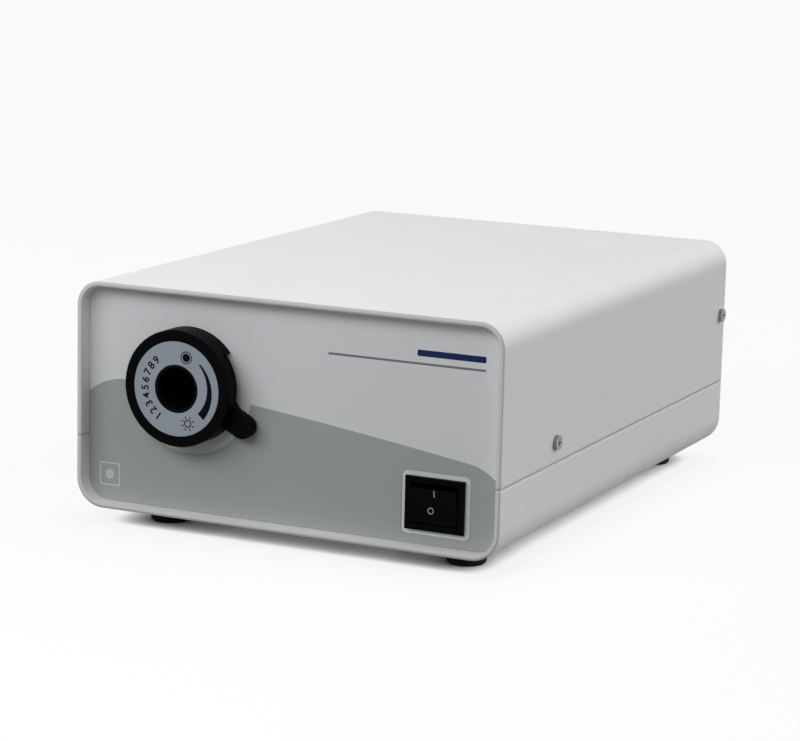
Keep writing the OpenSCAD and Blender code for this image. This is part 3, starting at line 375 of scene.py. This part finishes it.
def socket_ceramic():
    """Unglazed steatite."""
    return coated(
        "socket_ceramic", srgb(226, 221, 208), srgb(200, 190, 170),
        rough=0.7, grain=900, grain_depth=0.05, radius=0.3, mottling=0.05, wear=0.5,
    )


def wire_brown():
    """Brown sheath of a mains lead."""
    return coated(
        "wire_brown", srgb(96, 56, 36), srgb(140, 110, 96),
        rough=0.4, grain=1400, grain_depth=0.02, radius=0.05, mottling=0.08, wear=0.1,
    )


def wire_red():
    """Red sheath of a low-voltage lead."""
    return coated(
        "wire_red", srgb(168, 30, 28), srgb(206, 90, 84),
        rough=0.38, grain=1400, grain_depth=0.02, radius=0.05, mottling=0.08, wear=0.1,
    )


def wire_green():
    """Green earth lead with a yellow stripe that winds round it."""
    n = coated(
        "wire_green", srgb(38, 130, 50), srgb(90, 160, 96),
        rough=0.38, grain=1400, grain_depth=0.02, radius=0.05, mottling=0.08, wear=0.1,
    )
    base = n.shader.inputs["Base Color"].links[0].from_socket
    stripe = n.span(n.bands(160, "DIAGONAL"), 0, 1, 0.68, 0.74)
    n.set(Base_Color=n.mix(stripe, base, srgb(226, 206, 40)))
    return n


def board_green():
    """Solder mask over copper tracks."""
    n = Nodes("board_green")
    tracks = n.bands(85, "Y", distortion=9.0)
    holes = n.cells(180)
    base = n.mix(n.span(tracks, 0, 1, 0.45, 0.55), srgb(16, 74, 44), srgb(30, 102, 60))
    n.set(Base_Color=n.mix(n.span(holes, 1, 0, 0.08, 0.12), base, srgb(200, 196, 180)))
    n.set(Roughness=n.span(tracks, 0.28, 0.36), Coat_Weight=0.2)
    n.set(Normal=n.bump(tracks, 0.04, n.rounded(0.1, 4)))
    return n


def component_mix():
    """Moulded parts of the circuit: the colour changes from part to part along the board."""
    n = Nodes("component_mix")
    ramp = n.add("ShaderNodeValToRGB")
    ramp.color_ramp.interpolation = "CONSTANT"
    first, second, *rest = (
        (0.0, srgb(30, 30, 34)),
        (0.45, srgb(196, 166, 40)),
        (0.62, srgb(34, 70, 130)),
        (0.8, srgb(188, 190, 192)),
    )
    for element, stop in zip(ramp.color_ramp.elements, (first, second)):
        element.position, element.color = stop
    for position, colour in rest:
        ramp.color_ramp.elements.new(position).color = colour
    along = n.add("ShaderNodeSeparateXYZ")
    n.link(n.place, along.inputs[0])
    n.link(n.span(along.outputs["Y"], 0, 1, -0.05, 0.12), ramp.inputs["Fac"])
    grain = n.noise(900, 3, 0.5)
    n.set(Base_Color=n.mix(n.span(grain, 0, 0.15), ramp.outputs["Color"], srgb(120, 120, 120)))
    n.set(Roughness=n.span(grain, 0.3, 0.45), Normal=n.bump(grain, 0.02, n.rounded(0.3, 4)))
    return n


def plated_brass():
    """Nickel-plated brass contacts."""
    return metal(
        "plated_brass", srgb(214, 206, 180), srgb(176, 164, 132),
        rough=0.26, brushed=(1, 0.1, 1), radius=0.15,
    )


def ink(name, colour):
    """Screen-printed ink: a little uneven in cover and gloss."""
    n = Nodes(name)
    cover = n.noise(1500, 4, 0.65)
    thin = scaled(colour, 1.25, 0.003)
    n.set(Base_Color=n.mix(n.span(cover, 0, 1, 0.35, 0.75), colour, thin))
    n.set(Roughness=n.span(cover, 0.44, 0.58, 0.3, 0.7), Specular_IOR_Level=0.03)
    n.set(Normal=n.bump(cover, 0.004))
    return n.material


finishes = {
    make.__name__: make().material
    for make in (
        housing_paint, panel_paint, film_grey, black_moulding, switch_black, fan_black, dial_label,
        foot_rubber, zinc_steel, port_anodised, iris_steel, clear_glass, reflector_coat, socket_ceramic,
        core_steel, coil_tape, board_green, component_mix, plated_brass, wire_brown, wire_red, wire_green,
    )
}

slot_of = {}
for entry in frame["record"]["materials"]:
    for node_name in entry.get("nodes", []):
        slot_of[node_name] = entry["slot"]
for node_name, obj in nodes.items():
    for material_slot in obj.material_slots:
        source = slot_of.get(node_name) or material_slot.material.name.split(".")[0]
        material_slot.material = finishes[source]

# ---------------------------------------------------------------- print: flat ink laid on a CAD face

INK_T = 0.05  # thickness of the ink
INK_GAP = 0.01  # how deep the ink's underside lies in the face
STEP = 0.8  # longest edge of the mesh that follows a face
CUTS = 6  # most rounds of cutting that make its edges so short
AHEAD = 0.05  # how far in front of the rim the search for a face starts, in metres


def add_object(name, data):
    """A new object of the scene with that mesh, text, lamp or camera."""
    obj = bpy.data.objects.new(name, data)
    bpy.context.scene.collection.objects.link(obj)
    return obj


def printed(name, loops, target, material, body="root", slot="film_grey"):
    """Lays closed outlines on the front face of a CAD node.

    Their (x, z) points are in millimetres from the housing's middle and bottom.
    """
    work = bmesh.new()
    for loop in loops:
        work.faces.new([work.verts.new(place(x, 0, z)) for x, z in loop])
    bmesh.ops.triangulate(work, faces=work.faces[:])
    for _ in range(CUTS):
        long_edges = [e for e in work.edges if e.calc_length() > STEP * MM]
        if not long_edges:
            break
        bmesh.ops.subdivide_edges(work, edges=long_edges, cuts=1)
        bmesh.ops.triangulate(work, faces=work.faces[:])
    for v in work.verts:
        start = Vector((v.co.x, RIM_Y * MM - AHEAD, v.co.z))
        hit, where, _, _ = nodes[target].ray_cast(start, Vector((0, 1, 0)))
        v.co.y = (where.y if hit else RIM_Y * MM) + INK_GAP * MM
    for f in work.faces:
        if f.normal.y > 0:
            f.normal_flip()
    top = bmesh.ops.extrude_face_region(work, geom=work.faces[:])
    for v in top["geom"]:
        if isinstance(v, bmesh.types.BMVert):
            v.co.y -= (INK_T + INK_GAP) * MM
    bmesh.ops.recalc_face_normals(work, faces=work.faces[:])
    mesh = bpy.data.meshes.new(name)
    work.to_mesh(mesh)
    work.free()
    mesh.materials.append(material)
    piece = add_object(name, mesh)
    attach(piece, body)


def around(cx, cz, r, angle):
    """The point at that radius and angle, in degrees, from a centre."""
    a = math.radians(angle)
    return (cx + r * math.cos(a), cz + r * math.sin(a))


def round_box(x0, z0, x1, z1, r, steps=6):
    """Outline of a rectangle with round corners."""
    corners = ((x1 - r, z0 + r, -90), (x1 - r, z1 - r, 0), (x0 + r, z1 - r, 90), (x0 + r, z0 + r, 180))
    return [around(cx, cz, r, a + 90 * i / steps) for cx, cz, a in corners for i in range(steps + 1)]


def between(outer, inner):
    """The strips between two outlines with the same number of points."""
    n = len(outer)
    return [[outer[i], outer[(i + 1) % n], inner[(i + 1) % n], inner[i]] for i in range(n)]


def on_dial(r, angle):
    """A point at that radius and angle on the dial."""
    return around(AXIS_X, AXIS_Z, r, angle)


def dial_band(r, wide, a0, a1, steps=28):
    """An arc on the dial whose width goes from wide[0] at a0 to wide[1] at a1."""
    angles = [a0 + (a1 - a0) * i / steps for i in range(steps + 1)]
    half = [(wide[0] + (wide[1] - wide[0]) * i / steps) / 2 for i in range(steps + 1)]
    outer = [on_dial(r + h, a) for a, h in zip(angles, half)]
    inner = [on_dial(r - h, a) for a, h in zip(angles, half)]
    return [[outer[i], outer[i + 1], inner[i + 1], inner[i]] for i in range(steps)]


def disc(cx, cz, r, steps=28):
    """Outline of a round dot."""
    return [around(cx, cz, r, 360 * i / steps) for i in range(steps)]


def circle(cx, cz, r, wide):
    """A drawn circle of that outer radius and line width."""
    return between(disc(cx, cz, r), disc(cx, cz, r - wide))


def ray(cx, cz, near, far, half, angle):
    """A short stroke that points away from a centre, between two radii."""
    a = math.radians(angle)
    side = (-math.sin(a) * half, math.cos(a) * half)
    (x0, z0), (x1, z1) = around(cx, cz, near, angle), around(cx, cz, far, angle)
    return [
        (x0 - side[0], z0 - side[1]), (x1 - side[0], z1 - side[1]),
        (x1 + side[0], z1 + side[1]), (x0 + side[0], z0 + side[1]),
    ]


def digit(text, centre, height, turn):
    """The triangles of a numeral in Blender's own font, centred on a point and turned."""
    curve = bpy.data.curves.new("numeral", "FONT")
    curve.body = text
    curve.align_x = "CENTER"
    curve.align_y = "CENTER"
    curve.offset = 0.02  # makes the strokes bolder
    holder = add_object("numeral", curve)
    mesh = bpy.data.meshes.new_from_object(holder.evaluated_get(bpy.context.evaluated_depsgraph_get()))
    bpy.data.objects.remove(holder)
    top = max(v.co.y for v in mesh.vertices)
    bottom = min(v.co.y for v in mesh.vertices)
    middle = (top + bottom) / 2
    c, s = math.cos(math.radians(turn)), math.sin(math.radians(turn))
    scale = height / (top - bottom)
    faces = []
    for f in mesh.polygons:
        loop = []
        for i in f.vertices:
            x, y = mesh.vertices[i].co.x * scale, (mesh.vertices[i].co.y - middle) * scale
            loop.append((centre[0] + x * c - y * s, centre[1] + x * s + y * c))
        faces.append(loop)
    return faces


# Places on the dial are a radius in millimetres and an angle in degrees from the user's right.
WEDGE = dict(r=19.3, wide=(0.9, 4.4), a0=46, a1=-42)
FIRST_NUMERAL, NUMERAL_STEP, NUMERAL_R, NUMERAL_H = 236, 13.2, 18.2, 4.3
BRIGHT_AT, BRIGHT_R, BRIGHT_LINE = (18.6, -68), 2.1, 0.6
RAYS, RAY_FROM, RAY_TO, RAY_HALF = 8, 2.7, 3.9, 0.3
DIM_AT, DIM_DOT, DIM_R, DIM_LINE = (17.6, 71), 2.2, 3.3, 0.5
# Boxes on the panel, the film and the rocker are given by their lower left and upper right corners.
BAR = (70, 97.2, 107, 100.4)
RULE = (21, 92.9, 107, 94.0)
FRAME_OUTSIDE = (-111.3, 10.2, -99.0, 22.6)
FRAME_INSIDE = (-110.5, 11.0, -99.8, 21.8)
FRAME_DOT_AT, FRAME_DOT = (-105.15, 16.4), 2.6
ON_STROKE = (82.55, 28.0, 83.15, 31.4)
OFF_AT, OFF_R, OFF_LINE = (80.3, 20.5), 1.7, 0.45

navy = ink("dial_ink", srgb(10, 12, 22))
blue = ink("accent_ink", srgb(36, 52, 96))
rule = ink("rule_ink", srgb(126, 130, 138))
pale = ink("mark_ink", srgb(208, 213, 211))
white = ink("switch_ink", srgb(176, 182, 200))


def printed_dial(name, loops):
    """Print on the dial plate of the light port."""
    printed(name, loops, "dial_plate", navy, slot="dial_label")


printed_dial("dial_wedge", dial_band(**WEDGE))
numerals = []
for k in range(9):
    where = FIRST_NUMERAL - k * NUMERAL_STEP
    numerals += digit(str(k + 1), on_dial(NUMERAL_R, where), NUMERAL_H, where - 90)
printed_dial("dial_numerals", numerals)
bright = on_dial(*BRIGHT_AT)
rays = [ray(*bright, RAY_FROM, RAY_TO, RAY_HALF, 360 / RAYS * (k + 0.5)) for k in range(RAYS)]
printed_dial("dial_bright_mark", circle(*bright, BRIGHT_R, BRIGHT_LINE) + rays)
dim = on_dial(*DIM_AT)
printed_dial("dial_dim_mark", [disc(*dim, DIM_DOT)] + circle(*dim, DIM_R, DIM_LINE))
printed("accent_bar", [round_box(*BAR, 0.8)], "front_panel", blue, slot="panel_paint")
printed("thin_rule", [round_box(*RULE, 0.4)], "front_panel", rule, slot="panel_paint")
frame_line = between(round_box(*FRAME_OUTSIDE, 1.2), round_box(*FRAME_INSIDE, 0.8))
printed("corner_mark", frame_line + [disc(*FRAME_DOT_AT, FRAME_DOT)], "wave_film", pale)
on_rocker = dict(target="switch_rocker", material=white, body="rocker", slot="switch_black")
printed("switch_on_mark", [round_box(*ON_STROKE, 0.2)], **on_rocker)
printed("switch_off_mark", circle(*OFF_AT, OFF_R, OFF_LINE), **on_rocker)

# ---------------------------------------------------------------- floor, light and camera

FLOOR_HALF = 12  # metres from the middle to the floor's edge
FLOOR_BOUNCE = (srgb(98, 98, 98), srgb(116, 116, 116))  # the floor's colours as a reflector
FLOOR_GLOW = 0.85  # share of the floor's white that glows for the camera, with a shadow painted into that glow where the object is near
PAINTED_SHADOW_REACH = 0.03  # how near that is for the painted shadow, in metres
PAINTED_SHADOW_OPEN = (0.06, 0.26)  # the open shares at which the painted shadow is darkest and the floor is white
SKY = 0.16  # even light from all round
BACKGROUND = 0.96  # the world as the camera sees it


def background_rays(tree):
    """A socket that is 1 for what is seen, and 0 for the light on the object.

    Seen means straight by the camera, in a gloss or through glass.
    """
    path = tree.nodes.new("ShaderNodeLightPath")
    seen = path.outputs["Is Camera Ray"]
    for kind in ("Is Glossy Ray", "Is Transmission Ray"):
        either = tree.nodes.new("ShaderNodeMath")
        either.operation = "MAXIMUM"
        tree.links.new(seen, either.inputs[0])
        tree.links.new(path.outputs[kind], either.inputs[1])
        seen = either.outputs["Value"]
    return seen


def floor_white():
    """A white floor with a shadow painted in where the housing stands close above it.

    To the object it sends back only the light that a grey floor would.
    """
    n = Nodes("floor_white")
    seen = background_rays(n.tree)
    cloud = n.span(n.noise(3, 3), 0, 1, 0.3, 0.7)
    white = n.mix(cloud, srgb(252, 252, 253), srgb(255, 255, 255))
    grey = n.mix(cloud, *FLOOR_BOUNCE)
    n.set(Base_Color=n.mix(seen, grey, white), Roughness=0.9, Specular_IOR_Level=0.0)
    # The shadow under the housing is painted: ambient occlusion dims the glow that the camera sees of the
    # floor.
    painted_shadow_occlusion = n.add("ShaderNodeAmbientOcclusion", samples=32)
    painted_shadow_occlusion.inputs["Distance"].default_value = PAINTED_SHADOW_REACH
    glow = n.add("ShaderNodeEmission")
    glow.inputs["Color"].default_value = WHITE
    n.link(n.span(painted_shadow_occlusion.outputs["AO"], 0.0, 1.0, *PAINTED_SHADOW_OPEN), glow.inputs["Strength"])
    lit = n.add("ShaderNodeMixShader")
    n.link(n.math("MULTIPLY", seen, FLOOR_GLOW), lit.inputs["Fac"])
    n.link(n.shader.outputs[0], lit.inputs[1])
    n.link(glow.outputs[0], lit.inputs[2])
    n.link(lit.outputs[0], n.tree.nodes["Material Output"].inputs["Surface"])
    return n.material


corners = [(x * FLOOR_HALF, y * FLOOR_HALF, 0) for x, y in ((-1, -1), (1, -1), (1, 1), (-1, 1))]
floor_mesh = bpy.data.meshes.new("floor")
floor_mesh.from_pydata(corners, [], [(0, 1, 2, 3)])
floor_mesh.materials.append(floor_white())
add_object("floor", floor_mesh)

world = bpy.data.worlds.new("studio")
bpy.context.scene.world = world
world.use_nodes = True
tree = world.node_tree
tree.nodes.clear()
out = tree.nodes.new("ShaderNodeOutputWorld")
choose = tree.nodes.new("ShaderNodeMixShader")
tree.links.new(background_rays(tree), choose.inputs["Fac"])
for socket, strength in ((1, SKY), (2, BACKGROUND)):
    even = tree.nodes.new("ShaderNodeBackground")
    even.inputs["Color"].default_value = WHITE
    even.inputs["Strength"].default_value = strength
    tree.links.new(even.outputs[0], choose.inputs[socket])
tree.links.new(choose.outputs[0], out.inputs["Surface"])


def direction(azimuth, elevation):
    """The way to something at that azimuth from the front, positive to the user's right, and elevation."""
    a, e = math.radians(azimuth), math.radians(elevation)
    return Vector((math.sin(a) * math.cos(e), -math.cos(a) * math.cos(e), math.sin(e)))


def soft_sun(name, azimuth, elevation, spread, strength):
    """A wide, even light from far away; strength is what it adds to a white surface that faces it."""
    data = bpy.data.lights.new(name, "SUN")
    data.energy = strength * math.pi
    data.angle = math.radians(spread)
    obj = add_object(name, data)
    obj.rotation_euler = direction(azimuth, elevation).to_track_quat("Z", "Y").to_euler()


def soft_box(name, azimuth, elevation, distance, wide, high, strength):
    """A lamp that faces the middle of the front; its strength means about what a sun's does."""
    data = bpy.data.lights.new(name, "AREA")
    data.energy = strength * (math.pi * distance) ** 2
    data.shape = "RECTANGLE"
    data.size, data.size_y = wide, high
    obj = add_object(name, data)
    towards = direction(azimuth, elevation)
    obj.location = FRONT_MIDDLE + towards * distance
    obj.rotation_euler = towards.to_track_quat("Z", "Y").to_euler()
    obj.visible_camera = False


soft_sun("overhead", azimuth=180, elevation=82, spread=30, strength=0.29)
soft_sun("rear", azimuth=155, elevation=20, spread=50, strength=0.15)
soft_box("front", azimuth=-24, elevation=34, distance=1.0, wide=1.3, high=0.4, strength=0.555)
soft_sun("right", azimuth=100, elevation=28, spread=50, strength=0.325)

# The camera fitted to the photograph: where it stands, how it is turned in degrees, and its lens.
CAMERA_AT = (0.63988, -1.37868, 0.36140)
AZIMUTH, ELEVATION, ROLL = 25.26, 10.99, 1.43
FOCAL, SENSOR = 126.24, 36
camera_data = bpy.data.cameras.new("camera")
camera_data.sensor_fit = "HORIZONTAL"
camera_data.sensor_width = SENSOR
camera_data.lens = FOCAL
camera_data.clip_start, camera_data.clip_end = 0.05, 60
camera = add_object("camera", camera_data)
back = direction(AZIMUTH, ELEVATION)
level = direction(AZIMUTH + 90, 0)
upright = back.cross(level)
roll = math.radians(ROLL)
right = level * math.cos(roll) + upright * math.sin(roll)
up = upright * math.cos(roll) - level * math.sin(roll)
turned = Matrix((right, up, back)).transposed().to_4x4()
camera.matrix_world = Matrix.Translation(CAMERA_AT) @ turned
bpy.context.scene.camera = camera
bpy.context.scene.view_settings.view_transform = "Standard"
